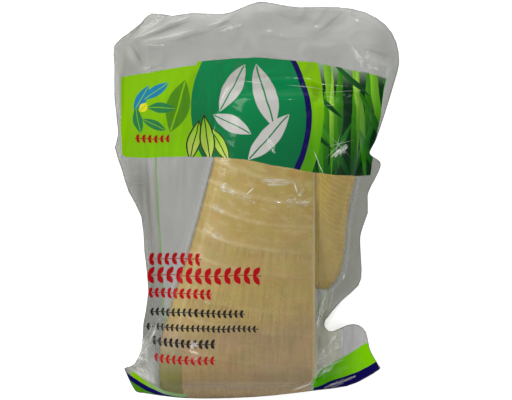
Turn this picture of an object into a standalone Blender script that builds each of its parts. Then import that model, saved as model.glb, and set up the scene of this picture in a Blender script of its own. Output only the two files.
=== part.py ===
"""A sealed clear pouch of cut bamboo shoot, lying on its back web.

Run it with blender --background --python part.py, or from Blender's text editor.

The pouch is two webs of clear film, sealed to each other all round. Between them lie two pieces of
peeled, boiled shoot, packed head to tail: a wide slab from the foot of a shoot, and a slim cut from
a shoot's tip, which points down. The vacuum draws the front web down over them, so its height is
worked out here from theirs. The sealed margins stand a few millimetres off the table in slow waves.

+X is to the pouch's right, +Y to its top edge and +Z up, out of the front. The origin is under the
middle of the pouch, on the surface that it rests on. All sizes are in metres.
"""

import math

import bmesh
import bpy
import numpy as np

# The film
WEB = 0.0003  # thickness of each web, sealing layer included
GAP = 0.0003  # what is left between two pieces that touch
CELL = 0.0045  # side of the squares that a web's mesh is cut into
STANDOFF = 0.0007  # how far the front web's coarse facets stay clear of the shoots
WALL_SLOPE = 2.2  # how steeply the front web comes down beside the shoots
CLOSING_SLOPE = 4.2  # the steepest that it comes down to its sealed edge
SIDE_TURN = 0.0012  # how far outside the slab's straight side the front web turns down
FOOT_TURN = 0.0010  # the same at the slab's foot
SNAP = 0.0006  # a cut through a web that passes this near a corner goes through the corner
FLAT_ENOUGH = math.radians(0.02)  # faces that meet flatter than this become one

# The sealed margins stand off the table in slow waves
LIFT = 0.0050  # the most that they stand off it
LIFT_START = 0.010  # nearer to the shoots than this they lie flat
LIFT_RAMP = 0.024  # over this distance the lift comes in
LIFT_MEAN = 0.55  # the mean lift, as a share of the most
LIFT_WAVES = (  # each wave's share of the lift, its radians a metre along x and y, and its phase
    (0.25, 62, 25, 0.6),
    (0.20, -41, 118, 0.0),
)
NOTCH = (0.0390, -0.0680)  # the deeper notch, where the vacuum draws the seal up the slab's side
NOTCH_LIFT = 0.0075
NOTCH_RADIUS = 0.012
NOTCH_START = 0.0015
NOTCH_RAMP = 0.004

# The slab from the foot of the shoot
SLAB_FOOT = -0.1036
SLAB_TOP = 0.0600
SLAB_RIGHT = 0.0322
SLAB_THICK_FOOT = 0.0225
SLAB_THICK_TOP = 0.0165
SLAB_ARCH = (0.64, 0.665)  # where across it the slab is highest, and the arc's half width
SLAB_FOOT_ROUND = (0.016, 0.42)  # how long the rounded shoulder is, and its height at the cut
SLAB_TOP_ROUND = (0.006, 0.62)
SLAB_SQUARES = (16, 30)  # how many squares its skin has across and along

# The cut from the tip, beside it
TIP_LEFT = SLAB_RIGHT + 0.0006
TIP_BOTTOM = -0.0488
TIP_TOP = 0.0560
TIP_THICK_BOTTOM = 0.0110
TIP_THICK_TOP = 0.0160
TIP_THICKENS = 1.6  # it reaches its full thickness at 1 / 1.6 of its length
TIP_ARCH = (0.20, 0.825)
TIP_POINT_ROUND = (0.020, 0.40)
TIP_TOP_ROUND = (0.005, 0.62)
TIP_SQUARES = (10, 22)

BED = 2 * WEB  # the height of the shoots' cut faces: on the back web, with a gap

# The height field that the front web follows is worked out on squares of this side
SQUARE = 0.001
FIELD_HALF = (0.090, 0.120)
WALL_ROUNDS = 24  # squares that the film's wall may reach out over
SMOOTH_ROUNDS = 10
MARGIN_ROUNDS = 110  # squares from the shoots to the farthest edge


def millimetres(points):
    return [(x / 1000, y / 1000) for x, y in points]


# The pouch's edge, from its top left corner round to the right. The header wanders, the right side
# is drawn in twice by the vacuum, and the corner below the deeper notch stands out as a flap.
TOP_EDGE = millimetres(
    [(-78, 85), (-71, 91.5), (-63.5, 97.5), (-57.5, 103), (-46, 101.5), (-35, 103)]
    + [(-18, 102.5), (-9, 105.5), (1.5, 109.3), (12.5, 108), (24, 106.5), (45, 106.5)]
    + [(60, 103.5), (71, 96.5)]
)
RIGHT_EDGE = millimetres(
    [(77, 87), (78.7, 76), (76.5, 66), (71, 47.5), (66, 33), (62.8, 26), (67.5, 22.3)]
    + [(68.8, 19), (66, 12.5), (61.8, 3.5), (61.7, -7), (57.6, -20), (58.3, -38), (56.5, -47)]
    + [(47, -55.5), (38, -66), (38.7, -70.5), (42, -71.8), (50, -68.7), (56, -68.6)]
    + [(60.5, -72.5), (62.7, -82), (67.4, -90.4)]
)
BOTTOM_EDGE = millimetres(
    [(68.6, -92.4), (66.8, -93.8), (60.5, -97.7), (50, -102.5), (32.5, -105), (4, -108.2), (-24, -109.4)]
    + [(-44, -108.8), (-62, -106.3), (-67, -104.5), (-71.9, -94.8)]
)
LEFT_EDGE = millimetres(
    [(-72.7, -92.9), (-71.0, -92.0), (-67, -90), (-63, -81), (-62.2, -68), (-59.5, -50), (-61.5, -28)]
    + [(-63, -9), (-70, 4.5), (-74, 17), (-77.6, 29), (-75.8, 37), (-78, 57), (-78, 74)]
)

# The sides of the two pieces, from bottom to top
SLAB_LEFT = millimetres(
    [(-49.5, -103.6), (-52.4, -98.5), (-53, -90), (-52.6, -79), (-48.9, -64.5), (-43.4, -47)]
    + [(-37, -28), (-29.7, -2.6), (-22.6, 24.4), (-13.6, 60)]
)
SLAB_CUT = millimetres(
    [(25, -103.6), (29.8, -101), (32, -95), (32.2, -60), (32.2, 20), (32, 50), (30.6, 60)]
)
TIP_RIGHT = millimetres(
    [(36.5, -48.8), (41.8, -43.8), (45.7, -37.8), (48.4, -30), (49.4, -20), (50.6, -8)]
    + [(52.8, 4.6), (55, 14), (57.2, 26), (59.4, 40), (60.4, 56)]
)


def curve_through(points, pieces, closed=False):
    """Points along a Catmull-Rom curve through the given ones, so many to each stretch."""
    p = np.array(points)
    if closed:
        p = np.concatenate([p[-1:], p, p[:2]])
    else:
        p = np.concatenate([[2 * p[0] - p[1]], p, [2 * p[-1] - p[-2]]])
    run = []
    for a, b, c, d in zip(p, p[1:], p[2:], p[3:]):
        for i in range(pieces):
            t = i / pieces
            run.append(
                0.5 * (2 * b + (c - a) * t + (2 * a - 5 * b + 4 * c - d) * t**2
                       + (3 * b - a - 3 * c + d) * t**3)
            )
    return np.array(run if closed else run + [p[-2]])


def side_at(points):
    """A side of a piece as a function: x for any y along it."""
    run = curve_through(points, 8)
    return lambda y: np.interp(y, run[:, 1], run[:, 0])


slab_left = side_at(SLAB_LEFT)
slab_right = side_at(SLAB_CUT)
tip_right = side_at(TIP_RIGHT)


def eased(x):
    """0 below 0, 1 above 1, and a smooth step between."""
    x = np.clip(x, 0, 1)
    return x * x * (3 - 2 * x)


def rounded(distance, shoulder):
    """A rounded shoulder: the share of full thickness at a distance in from an end."""
    width, least = shoulder
    d = np.clip(1 - distance / width, 0, 1)
    return least + (1 - least) * np.sqrt(1 - d * d)


def arched(t, arch):
    """The share of full thickness across a piece, as an arc with a thin edge left at its side."""
    crown, reach = arch
    thin_edge = 0.02
    return np.sqrt(np.clip(1 - ((t - crown) / reach) ** 2, thin_edge, 1))


def slab_height(x, y):
    """Thickness of the slab over its cut face: highest right of the middle, thin at its left."""
    along = (y - SLAB_FOOT) / (SLAB_TOP - SLAB_FOOT)
    t = (x - slab_left(y)) / (slab_right(y) - slab_left(y))
    thick = SLAB_THICK_FOOT + (SLAB_THICK_TOP - SLAB_THICK_FOOT) * eased(along)
    ends = rounded(y - SLAB_FOOT, SLAB_FOOT_ROUND) * rounded(SLAB_TOP - y, SLAB_TOP_ROUND)
    return thick * arched(t, SLAB_ARCH) * ends


def tip_height(x, y):
    """Thickness of the tip's cut: highest by the slab, thin at its right and towards its point."""
    along = (y - TIP_BOTTOM) / (TIP_TOP - TIP_BOTTOM)
    t = (x - TIP_LEFT) / (tip_right(y) - TIP_LEFT)
    thick = TIP_THICK_BOTTOM + (TIP_THICK_TOP - TIP_THICK_BOTTOM) * eased(along * TIP_THICKENS)
    ends = rounded(y - TIP_BOTTOM, TIP_POINT_ROUND) * rounded(TIP_TOP - y, TIP_TOP_ROUND)
    return thick * arched(t, TIP_ARCH) * ends


def field_squares():
    xs = np.arange(-FIELD_HALF[0], FIELD_HALF[0] + SQUARE / 2, SQUARE)
    ys = np.arange(-FIELD_HALF[1], FIELD_HALF[1] + SQUARE / 2, SQUARE)
    return np.meshgrid(xs, ys)


def neighbours(field, edge):
    """The eight shifted copies of a field, each with how far it was shifted, in squares."""
    wide = np.pad(field, 1, constant_values=edge)
    h, w = field.shape
    for i in range(3):
        for j in range(3):
            if (i, j) != (1, 1):
                yield wide[i:i + h, j:j + w], math.hypot(i - 1, j - 1)


def shoots_field():
    """Height of the shoots' skin over the table, and 0 where neither of them lies."""
    x, y = field_squares()
    slab = (x >= slab_left(y)) & (x <= slab_right(y)) & (y >= SLAB_FOOT) & (y <= SLAB_TOP)
    tip = (x >= TIP_LEFT) & (x <= tip_right(y)) & (y >= TIP_BOTTOM) & (y <= TIP_TOP)
    skin = np.where(slab, BED + slab_height(x, y), 0)
    return np.maximum(skin, np.where(tip, BED + tip_height(x, y), 0))


def draped(skin):
    """A film pulled over the field: over every rise, no steeper than its wall, and smoothed."""
    for _ in range(2):
        skin = np.maximum(skin, np.max([n for n, _ in neighbours(skin, 0)], axis=0))
    least = np.where(skin > 0, skin + STANDOFF, 0)
    film = least
    for _ in range(WALL_ROUNDS):
        film = np.maximum(
            film,
            np.max([n - WALL_SLOPE * SQUARE * d for n, d in neighbours(film, 0)], axis=0),
        )
    for _ in range(SMOOTH_ROUNDS):
        film = np.maximum(np.mean([n for n, _ in neighbours(film, 0)], axis=0), least)
    return film


def lifted(skin):
    """How high the sealed margins stand off the table, from 0 near the shoots."""
    x, y = field_squares()
    away = np.where(skin > 0, 0.0, 1.0)
    for _ in range(MARGIN_ROUNDS):
        away = np.minimum(
            away, np.min([n + SQUARE * d for n, d in neighbours(away, 1.0)], axis=0)
        )
    waves = sum(share * np.sin(kx * x + ky * y + phase) for share, kx, ky, phase in LIFT_WAVES)
    margin = LIFT * (LIFT_MEAN + waves) * eased((away - LIFT_START) / LIFT_RAMP)
    notch = np.exp(-((x - NOTCH[0]) ** 2 + (y - NOTCH[1]) ** 2) / NOTCH_RADIUS**2)
    return np.maximum(margin, NOTCH_LIFT * notch * eased((away - NOTCH_START) / NOTCH_RAMP))


def reader(field):
    """A field as a function of a place, read between its squares."""

    def at(x, y):
        i = (x + FIELD_HALF[0]) / SQUARE
        j = (y + FIELD_HALF[1]) / SQUARE
        i0, j0 = int(i), int(j)
        a, b = i - i0, j - j0
        low = field[j0, i0] * (1 - a) + field[j0, i0 + 1] * a
        high = field[j0 + 1, i0] * (1 - a) + field[j0 + 1, i0 + 1] * a
        return float(low * (1 - b) + high * b)

    return at


def material(name, colour, roughness, alpha=1.0):
    made = bpy.data.materials.new(name)
    made.use_nodes = True
    shader = made.node_tree.nodes["Principled BSDF"]
    shader.inputs["Base Color"].default_value = (*colour, 1)
    shader.inputs["Roughness"].default_value = roughness
    shader.inputs["Metallic"].default_value = 0
    shader.inputs["Alpha"].default_value = alpha
    return made


def add_object(name, bm, made_of):
    bmesh.ops.recalc_face_normals(bm, faces=bm.faces)
    mesh = bpy.data.meshes.new(name)
    bm.to_mesh(mesh)
    bm.free()
    mesh.shade_smooth()
    mesh.set_sharp_from_angle(angle=math.radians(50))
    mesh.materials.append(made_of)
    made = bpy.data.objects.new(name, mesh)
    bpy.context.scene.collection.objects.link(made)
    return made


outline = curve_through(TOP_EDGE + RIGHT_EDGE + BOTTOM_EDGE + LEFT_EDGE, 2, closed=True)


def from_edge(x, y):
    """The distance from a place to the pouch's edge."""
    start = outline
    run = np.roll(outline, -1, axis=0) - start
    to = np.array([x, y]) - start
    share = np.clip((to * run).sum(axis=1) / (run**2).sum(axis=1), 0, 1)
    return float(np.linalg.norm(to - run * share[:, None], axis=1).min())


def flat_web():
    """The pouch's outline as one face, cut into squares, with a cut just outside the slab's foot
    and another by its straight side, where the front web turns down."""
    bm = bmesh.new()
    bm.faces.new([bm.verts.new((x, y, 0)) for x, y in outline])
    for axis, turn in enumerate((SLAB_RIGHT + SIDE_TURN, SLAB_FOOT - FOOT_TURN)):
        normal = (1, 0, 0) if axis == 0 else (0, 1, 0)
        first = turn - CELL * int((turn + FIELD_HALF[axis]) / CELL)
        for place in np.arange(first, FIELD_HALF[axis], CELL):
            bmesh.ops.bisect_plane(
                bm, geom=bm.verts[:] + bm.edges[:] + bm.faces[:],
                dist=SNAP, plane_co=[place * n for n in normal], plane_no=normal,
            )
    bmesh.ops.triangulate(bm, faces=bm.faces)
    return bm


def join_flat_faces(bm):
    """Fewer triangles where a surface is flat. Its normals are brought up to date first, because
    the dissolve reads them, and points were moved since they were last worked out."""
    bm.normal_update()
    bmesh.ops.dissolve_limit(bm, angle_limit=FLAT_ENOUGH, verts=bm.verts[:], edges=bm.edges[:])
    bmesh.ops.triangulate(bm, faces=bm.faces)


def web(name, underside, made_of):
    """A sheet of film: the flat web raised to its underside, and given its thickness."""
    bm = flat_web()
    low = bm.verts[:]
    top = bmesh.ops.extrude_face_region(bm, geom=bm.faces[:])["geom"]
    for v in low:
        v.co.z = underside(v.co.x, v.co.y)
    for v in top:
        if isinstance(v, bmesh.types.BMVert):
            v.co.z = underside(v.co.x, v.co.y) + WEB
    join_flat_faces(bm)
    return add_object(name, bm, made_of)


def cut_shoot(name, left, right, height, ends, squares, made_of):
    """A piece of shoot: a grid laid between its two sides, raised, and closed by a flat cut."""
    bm = bmesh.new()
    bmesh.ops.create_grid(bm, x_segments=squares[0], y_segments=squares[1], size=0.5)
    for v in bm.verts:
        y = ends[0] + (ends[1] - ends[0]) * (v.co.y + 0.5)
        x = left(y) + (right(y) - left(y)) * (v.co.x + 0.5)
        v.co = (x, y, BED + float(height(x, y)))
    low = bmesh.ops.extrude_face_region(bm, geom=bm.faces[:])["geom"]
    for v in low:
        if isinstance(v, bmesh.types.BMVert):
            v.co.z = BED
    join_flat_faces(bm)
    return add_object(name, bm, made_of)


def main():
    for old in list(bpy.data.objects):
        bpy.data.objects.remove(old, do_unlink=True)
    flesh = material("boiled_shoot", (0.44, 0.32, 0.13), 0.45)
    pale_flesh = material("boiled_shoot_tip", (0.34, 0.25, 0.07), 0.45)
    clear = material("clear_film", (0.62, 0.63, 0.60), 0.20, alpha=0.35)
    clear_back = material("clear_film_back", (0.55, 0.56, 0.53), 0.20, alpha=0.35)

    skin = shoots_field()
    lift = reader(lifted(skin))
    drape = reader(draped(skin))

    def front(x, y):
        sealed = lift(x, y) + WEB + GAP
        return max(sealed, min(drape(x, y), sealed + CLOSING_SLOPE * from_edge(x, y)))

    web("film_back", lift, clear_back)
    web("film_front", front, clear)
    cut_shoot(
        "shoot_base", slab_left, slab_right, slab_height,
        (SLAB_FOOT, SLAB_TOP), SLAB_SQUARES, flesh,
    )
    cut_shoot(
        "shoot_tip", lambda y: TIP_LEFT, tip_right, tip_height,
        (TIP_BOTTOM, TIP_TOP), TIP_SQUARES, pale_flesh,
    )


main()
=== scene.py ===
# %% [markdown]
# # A clear vacuum pouch of bamboo shoot
#
# Two webs of clear film hold two pieces of peeled, boiled shoot. The packed model gives the sizes
# and places of all four, and this lesson gives them their surfaces. Film and plant are opposites to
# model: the shoots are thick, soft-edged and matt, the film is thin, creased and glossy. So the
# shoots are remeshed and carved, and the film is a fine flat sheet that is lowered over them.

# %% Load the frame
import math

import bmesh
import bpy
import numpy as np
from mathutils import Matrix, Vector, noise
from mathutils.bvhtree import BVHTree
from mathutils.kdtree import KDTree


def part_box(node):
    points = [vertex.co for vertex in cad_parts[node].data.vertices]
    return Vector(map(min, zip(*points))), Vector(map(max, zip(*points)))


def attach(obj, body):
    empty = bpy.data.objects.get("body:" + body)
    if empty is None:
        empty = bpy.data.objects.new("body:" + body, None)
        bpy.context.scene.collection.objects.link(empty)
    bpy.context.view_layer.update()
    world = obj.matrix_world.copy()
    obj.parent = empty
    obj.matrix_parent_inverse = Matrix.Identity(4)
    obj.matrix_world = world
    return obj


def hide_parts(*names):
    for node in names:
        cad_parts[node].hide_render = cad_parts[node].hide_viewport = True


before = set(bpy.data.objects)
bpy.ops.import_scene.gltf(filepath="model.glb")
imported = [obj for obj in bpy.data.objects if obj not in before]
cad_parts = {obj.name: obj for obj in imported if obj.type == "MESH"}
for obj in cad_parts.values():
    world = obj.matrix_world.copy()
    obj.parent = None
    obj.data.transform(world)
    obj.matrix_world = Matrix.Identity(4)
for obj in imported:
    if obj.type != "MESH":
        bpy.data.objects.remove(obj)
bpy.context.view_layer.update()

MM = 0.001

# %% [markdown]
# ## Camera, table and light
#
# A pouch shows its label from above, so the camera looks straight down, through a long lens that
# keeps the thick slab from leaning outwards. The table is pale. Film only reads as film when small
# bright lights glint on its creases, so two small lamps join the large soft ones.

# %% Camera
scene = bpy.context.scene
VIEW_WIDTH = 281.6 * MM
LENS = 120.0
SENSOR = 36.0
camera = bpy.data.objects.new("camera", bpy.data.cameras.new("camera"))
camera.data.lens = LENS
camera.data.sensor_width = SENSOR
camera.data.clip_start = 0.01
camera.location = (0, 0.0002, VIEW_WIDTH * LENS / SENSOR + 4 * MM)
scene.collection.objects.link(camera)
scene.camera = camera
scene.view_settings.view_transform = "Standard"
print("the camera is", round(camera.location.z, 3), "m above the table")


# %% Table
def new_material(name):
    made = bpy.data.materials.new(name)
    made.use_nodes = True
    return made, made.node_tree, made.node_tree.nodes["Principled BSDF"]


def set_values(node, **values):
    """Sets a node's sockets. A space in a name is given as _."""
    for name, value in values.items():
        node.inputs[name.replace("_", " ")].default_value = value


def object_of(name, bm):
    """An object that holds a bmesh's mesh."""
    mesh = bpy.data.meshes.new(name)
    bm.to_mesh(mesh)
    bm.free()
    made = bpy.data.objects.new(name, mesh)
    scene.collection.objects.link(made)
    return made


WHITE = (1, 1, 1, 1)
paper, tree, shader = new_material("table_paper")
set_values(shader, Base_Color=(0.95, 0.95, 0.95, 1), Roughness=0.9, Specular_IOR_Level=0.1,
    Emission_Color=WHITE, Emission_Strength=0.4)
bm = bmesh.new()
bmesh.ops.create_grid(bm, x_segments=1, y_segments=1, size=2.0)
table = object_of("table", bm)
table.data.materials.append(paper)
table.location.z = -0.2 * MM
print("table laid")


# %% Lights
def lamp(name, place, size, power):
    """A square white lamp that faces the middle of the pouch."""
    made = bpy.data.objects.new(name, bpy.data.lights.new(name, "AREA"))
    made.data.size = size
    made.data.energy = power
    made.location = place
    made.rotation_euler = (-Vector(place)).to_track_quat("-Z", "Y").to_euler()
    scene.collection.objects.link(made)


world = bpy.data.worlds.new("room")
world.use_nodes = True
set_values(world.node_tree.nodes["Background"], Color=WHITE, Strength=0.44)
scene.world = world
lamp("low_key", (-1.1, 0.75, 0.65), 0.7, 19)
lamp("soft_fill", (0.9, -0.9, 1.2), 2.0, 11)
lamp("glint_top", (0.15, 0.75, 0.9), 0.06, 2.8)
lamp("glint_left", (-0.6, -0.1, 0.8), 0.06, 0.9)

# %% [markdown]
# ## The shoots' flesh
#
# The packed solids are coarse, because their job is weight and collision. Each one is copied,
# welded, and remeshed into small even squares, which a few rounds of smoothing then relax. That
# rounds the cut edges as boiling does, and leaves enough points to carve the plant's own form: the
# rings where sheaths grew, the long ribs between them, and the hollow cells of the cut face.


# %% Copy a packed solid as fine, even squares
def welded_copy(node):
    """The node's mesh with its loose triangles joined, as a bmesh."""
    bm = bmesh.new()
    bm.from_mesh(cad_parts[node].data)
    bmesh.ops.remove_doubles(bm, verts=bm.verts, dist=0.005 * MM)
    return bm


def place_piece(name, bm, node):
    """A finished piece that stands for a packed node."""
    made = object_of(name, bm)
    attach(made, "root")
    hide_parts(node)
    made.data.shade_smooth()
    return made


def fine_copy(node, voxel, rounds):
    """The node's mesh in even squares, smoothed for some rounds, as a bmesh."""
    holder = object_of(node + "_coarse", welded_copy(node))
    remesh = holder.modifiers.new("remesh", "REMESH")
    remesh.mode = "VOXEL"
    remesh.voxel_size = voxel
    graph = bpy.context.evaluated_depsgraph_get()
    fine = bpy.data.meshes.new_from_object(holder.evaluated_get(graph))
    bpy.data.objects.remove(holder)
    bm = bmesh.new()
    bm.from_mesh(fine)
    for _ in range(rounds):
        bmesh.ops.smooth_vert(bm, verts=bm.verts, factor=0.5,
            use_axis_x=True, use_axis_y=True, use_axis_z=True)
    return bm


def points_of(bm):
    return np.array([v.co for v in bm.verts])


slab_bm = fine_copy("shoot_base", 0.7 * MM, 8)
tip_bm = fine_copy("shoot_tip", 0.6 * MM, 6)
print("slab", len(slab_bm.verts), "points, tip", len(tip_bm.verts), "points")


# %% Where a point lies across a piece
SAME_ROW = 0.01 * MM


def sides_of(node):
    """A piece's left and right side, as functions that give x for any y."""
    bm = welded_copy(node)
    p = points_of(bm)
    bm.free()
    rows = np.unique(np.round(p[:, 1], 5))
    rows = [r for r in rows if (abs(p[:, 1] - r) < SAME_ROW).sum() > 2]
    low = [p[abs(p[:, 1] - r) < SAME_ROW, 0].min() for r in rows]
    high = [p[abs(p[:, 1] - r) < SAME_ROW, 0].max() for r in rows]
    return lambda y: np.interp(y, rows, low), lambda y: np.interp(y, rows, high)


slab_left, slab_right = sides_of("shoot_base")
tip_left, tip_right = sides_of("shoot_tip")


def across(p, left, right):
    a, b = left(p[:, 1]), right(p[:, 1])
    return np.clip((p[:, 0] - a) / (b - a), 0, 1)


def eased(x):
    x = np.clip(x, 0, 1)
    return x * x * (3 - 2 * x)


def rise(value, start, over):
    """0 up to a start, and 1 once past it by a run, both in millimetres."""
    return eased((value - start * MM) / (over * MM))


print("slab is", round((slab_right(0) - slab_left(0)) / MM), "mm wide at the middle")

# %% [markdown]
# ## Rings and ribs of the slab
#
# A ring marks where a sheath was peeled off. Rings run level where the slab faces up and climb
# towards its left side, where the shoot's round flank turns away, and they lie closer together
# towards the tip. Each is a low ridge with a shallow groove under it. A ring's place is measured
# along the shoot, less its climb, so one number says where it is all the way across. Underneath,
# a split shoot shows its hollow core, which a wall crosses at each ring.


# %% Rings and ribs
def ring_place(p, t, climb):
    """How far along the shoot a point lies, in step with the rings."""
    return p[:, 1] - climb * (1 - t) ** 2.2


def below_ring(q, rings):
    """How far below the nearest ring above it a point lies."""
    gap = rings[None, :] - q[:, None]
    return np.where(gap > 0, gap, 1.0).min(axis=1)


def ring_lines(q, rings, width):
    """1 on a ring, and 0 away from it."""
    return np.exp(-((q[:, None] - rings[None, :]) / width) ** 2).sum(axis=1)


def set_points(bm, p):
    for v, co in zip(bm.verts, p):
        v.co = co


def noise_at(places, seed):
    """Smooth noise, from -1 to 1, at each place."""
    shift = Vector((seed * 17.3, seed * 5.1, seed * 9.7))
    return np.array([noise.noise(Vector(place) + shift) for place in places])


def facing(bm):
    bm.normal_update()
    return np.array([v.normal for v in bm.verts])


RING_WIDTH = 1.1 * MM
GROOVE_WIDTH = 1.2 * MM
GROOVE_BELOW = 2.0 * MM
SWELL = 0.25 * MM


def carve(bm, left, right, rings, climb, ring_height, rib_height, rib_width):
    """Raises rings and ribs on a piece's outer side. Gives each point's place along and across."""
    p, n = points_of(bm), facing(bm)
    t = across(p, left, right)
    q = ring_place(p, t, climb)
    up = eased((n[:, 2] + 0.1) / 0.5)
    foot = p[:, 1].min() + 20 * MM
    width = t * (right(foot) - left(foot))
    ribs = noise_at(np.stack([width / rib_width, q / (40 * MM), 0 * q], axis=1), 1)
    swell = noise_at(p / (16 * MM), 2)
    groove = ring_lines(q + GROOVE_BELOW, rings, GROOVE_WIDTH)
    ridge = ring_lines(q, rings, RING_WIDTH) - 0.6 * groove
    out = up * (ring_height * ridge + rib_height * ribs) + SWELL * swell
    p = p + n * out[:, None]
    return p, n, t, q


print("a ring is", RING_WIDTH / MM, "mm wide")

# %% Carve the slab
SLAB_RINGS = np.array([56, 48, 39, 30, 20, 9.8, -1.6, -14.6, -28.3, -41.5, -61.5, -73, -90]) * MM
SLAB_CLIMB = 13 * MM
HOLLOW_DEPTH = 3.0 * MM
HOLLOW_HALF = 0.36
HOLLOW_MIDDLE = 0.52
p, n, t, q = carve(slab_bm, slab_left, slab_right, SLAB_RINGS, SLAB_CLIMB,
    ring_height=0.13 * MM, rib_height=0.05 * MM, rib_width=2.2 * MM)
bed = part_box("shoot_base")[0].z
under = (n[:, 2] < -0.6) & (p[:, 2] < bed + 0.6 * MM)
core = eased((HOLLOW_HALF - abs(t - HOLLOW_MIDDLE)) / 0.1)
walls = np.clip(ring_lines(q, SLAB_RINGS, 1.3 * MM), 0, 1)
foot_room = rise(p[:, 1] - p[:, 1].min(), 9, 5)
top_room = rise(p[:, 1].max() - p[:, 1], 5, 4)
p[under, 2] += (HOLLOW_DEPTH * core * (1 - 0.8 * walls) * foot_room * top_room)[under]
p[:, 2] = np.maximum(p[:, 2], bed)
set_points(slab_bm, p)
print("slab carved, thickness", round((p[:, 2].max() - p[:, 2].min()) / MM, 1), "mm")


# %% Mark the slab for its material
def place_marks(n, t, q, rings):
    """The marks that both shoots have, from what carve() gives."""
    return {"below": below_ring(q, rings) / (10 * MM), "across": t, "along": q / (10 * MM),
        "cut": (n[:, 2] < -0.5).astype(float)}


# Dark strokes stand out below two of the rings, and the more so below the lower one.
STROKES_UNDER = np.array([-31, -63]) * MM
# The ring mark is strongest at the left: the rings' paler colour plus a painted highlight where
# they catch the light.
slab_marks = {"ring": ring_lines(q, SLAB_RINGS, 1.0 * MM) * (1.0 - 0.6 * eased((t - 0.2) / 0.7)),
    **place_marks(n, t, q, SLAB_RINGS), "strokes": 0.3 + ring_lines(q, STROKES_UNDER[:1], 5 * MM)
    + 2.0 * ring_lines(q, STROKES_UNDER[1:], 5 * MM)}
print("the slab's marks are", ", ".join(slab_marks))

# %% [markdown]
# ## The cut from the tip
#
# Near its tip a shoot is all young sheaths, one inside the next, so the rings are a millimetre or
# two apart, and they fan down to the right across this narrow piece. The points are too far apart
# for lines that fine, so the carving only measures them, and the material draws them. The packed
# solid is a little narrow at this piece's lower right corner, so the carving draws it outwards.

# %% Carve the tip
tip_low, tip_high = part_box("shoot_tip")
TIP_RINGS = np.arange(tip_low.y - 30 * MM, tip_high.y + 30 * MM, 9 * MM)
CORNER_WIDER = 3.2 * MM
p, n, t, q = carve(tip_bm, tip_left, tip_right, TIP_RINGS, 10 * MM,
    ring_height=0.05 * MM, rib_height=0.0, rib_width=3.0 * MM)
p[:, 0] += CORNER_WIDER * rise(-p[:, 1], 27, 24) * np.clip(t, 0, 1)
p[:, 2] = np.maximum(p[:, 2], bed)
set_points(tip_bm, p)
tip_marks = place_marks(n, t, q, TIP_RINGS)


def add_marks(piece, marks):
    for name, values in marks.items():
        layer = piece.data.attributes.new(name, "FLOAT", "POINT")
        layer.data.foreach_set("value", np.asarray(values, np.float32))


slab = place_piece("shoot_slab", slab_bm, "shoot_base")
add_marks(slab, slab_marks)
tip = place_piece("shoot_tip_cut", tip_bm, "shoot_tip")
add_marks(tip, tip_marks)
print("tip carved, thickness", round((p[:, 2].max() - p[:, 2].min()) / MM, 1), "mm")

# %% [markdown]
# ## The film's outline
#
# The pouch's edge is read from the packed back web: its underside is kept, flattened, and its
# border walked round. A curve through those points smooths it.


# %% Walk round the packed web's edge
def border_of(node):
    """The border of a web's underside, in order, as x and y."""
    bm = welded_copy(node)
    bm.normal_update()
    drop = [f for f in bm.faces if f.normal.z > -0.3]
    bmesh.ops.delete(bm, geom=drop, context="FACES")
    start = next(e for e in bm.edges if e.is_boundary).verts[0]
    run, last, here = [start.co.xy.copy()], None, start
    while True:
        step = next(e.other_vert(here) for e in here.link_edges
            if e.is_boundary and e.other_vert(here) is not last)
        if step is start:
            break
        run.append(step.co.xy.copy())
        last, here = here, step
    bm.free()
    return np.array(run)


def smooth_curve(p, pieces):
    """A Catmull-Rom curve through all the given points but the first and the last."""
    out = []
    for a, b, c, d in zip(p, p[1:], p[2:], p[3:]):
        for i in range(pieces):
            u = i / pieces
            out.append(0.5 * (2 * b + (c - a) * u + (2 * a - 5 * b + 4 * c - d) * u ** 2
                + (3 * b - a - 3 * c + d) * u ** 3))
    return np.array(out)


coarse_border = border_of("film_back")
border = smooth_curve(np.concatenate([coarse_border[-1:], coarse_border, coarse_border[:2]]), 3)
print("the edge has", len(coarse_border), "packed points and", len(border), "smooth ones")

# %% [markdown]
# ## A flat sheet of small squares
#
# The outline becomes one face, which straight cuts divide into squares. Cutting all one way first
# keeps each later cut quick. Both webs are made from this one flat sheet, so where they are sealed
# they lie exactly parallel.

# %% Cut the sheet
CELL = 0.9 * MM


def flat_sheet(cell):
    bm = bmesh.new()
    bm.faces.new([bm.verts.new((x, y, 0)) for x, y in border])
    for axis, normal in enumerate(((1, 0, 0), (0, 1, 0))):
        low, high = border[:, axis].min(), border[:, axis].max()
        for place in np.arange(low + cell / 2, high, cell):
            bmesh.ops.bisect_plane(bm, geom=bm.verts[:] + bm.edges[:] + bm.faces[:],
                dist=0.18 * cell, plane_co=[place * k for k in normal], plane_no=normal)
    return bm


sheet_bm = flat_sheet(CELL)
print("the sheet has", len(sheet_bm.faces), "faces")

# %% [markdown]
# ## Lowering the film over the shoots
#
# A height field stands for everything that the film can lie on. Film pulled over it by a vacuum
# covers each rise, and comes down beside it no steeper than its own stiffness lets it. A few rounds
# of averaging round the folds, and never let it sink into what it covers.

# %% The height field
SQUARE = 0.7 * MM
FIELD_LOW = border.min(axis=0) - 6 * SQUARE
FIELD_HIGH = border.max(axis=0) + 6 * SQUARE
FIELD_SHAPE = tuple(int(k) for k in np.ceil((FIELD_HIGH - FIELD_LOW) / SQUARE)[::-1])


def field_of(p):
    """The highest of the given points over each square, or 0."""
    field = np.zeros(FIELD_SHAPE)
    i = np.round((p[:, 0] - FIELD_LOW[0]) / SQUARE).astype(int)
    j = np.round((p[:, 1] - FIELD_LOW[1]) / SQUARE).astype(int)
    np.maximum.at(field, (j, i), p[:, 2])
    return field


def neighbours(field, edge):
    """The field moved one square each way, with how far that is in squares."""
    wide = np.pad(field, 1, constant_values=edge)
    h, w = field.shape
    for i in range(3):
        for j in range(3):
            if (i, j) != (1, 1):
                yield wide[i:i + h, j:j + w], math.hypot(i - 1, j - 1)


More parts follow.
